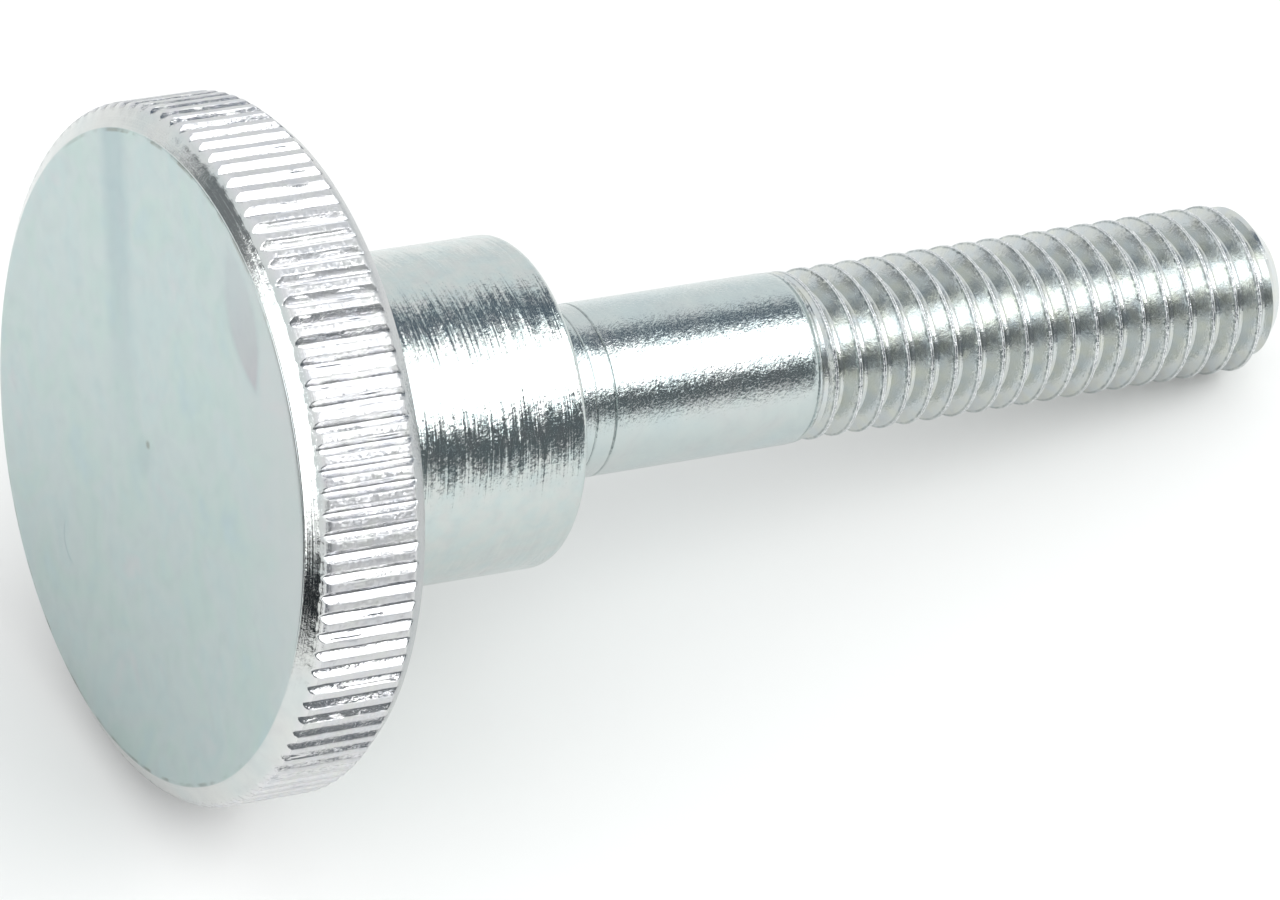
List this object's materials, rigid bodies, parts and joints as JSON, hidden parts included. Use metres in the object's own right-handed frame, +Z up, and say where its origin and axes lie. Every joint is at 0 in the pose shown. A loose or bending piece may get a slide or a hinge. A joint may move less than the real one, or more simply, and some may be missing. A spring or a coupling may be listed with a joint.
{
  "type": "knurled thumb screw",
  "caption": "Zinc-plated steel thumb screw with a wide straight-knurled head, a smooth stepped collar, a plain shank and a threaded, chamfered end, turned by hand without a tool.",
  "frame": {"origin": "middle of the bounding box in plan, on the surface the screw lies on, which is Z = 0", "axes": "+X runs from the head towards the point, seen from above; +Z is up. The screw axis lies in the XZ plane and dips 12.96 degrees below +X towards the point, because the screw rests on the rear rim of its head and on the edge of its point"},
  "size_m": [0.038, 0.02, 0.0201],
  "materials": {
    "zinc_plated_steel": "bright zinc plate over turned steel, with fine turning marks"
  },
  "bodies": {
    "root": {"thumb_screw": "zinc_plated_steel"}
  },
  "joints": []
}
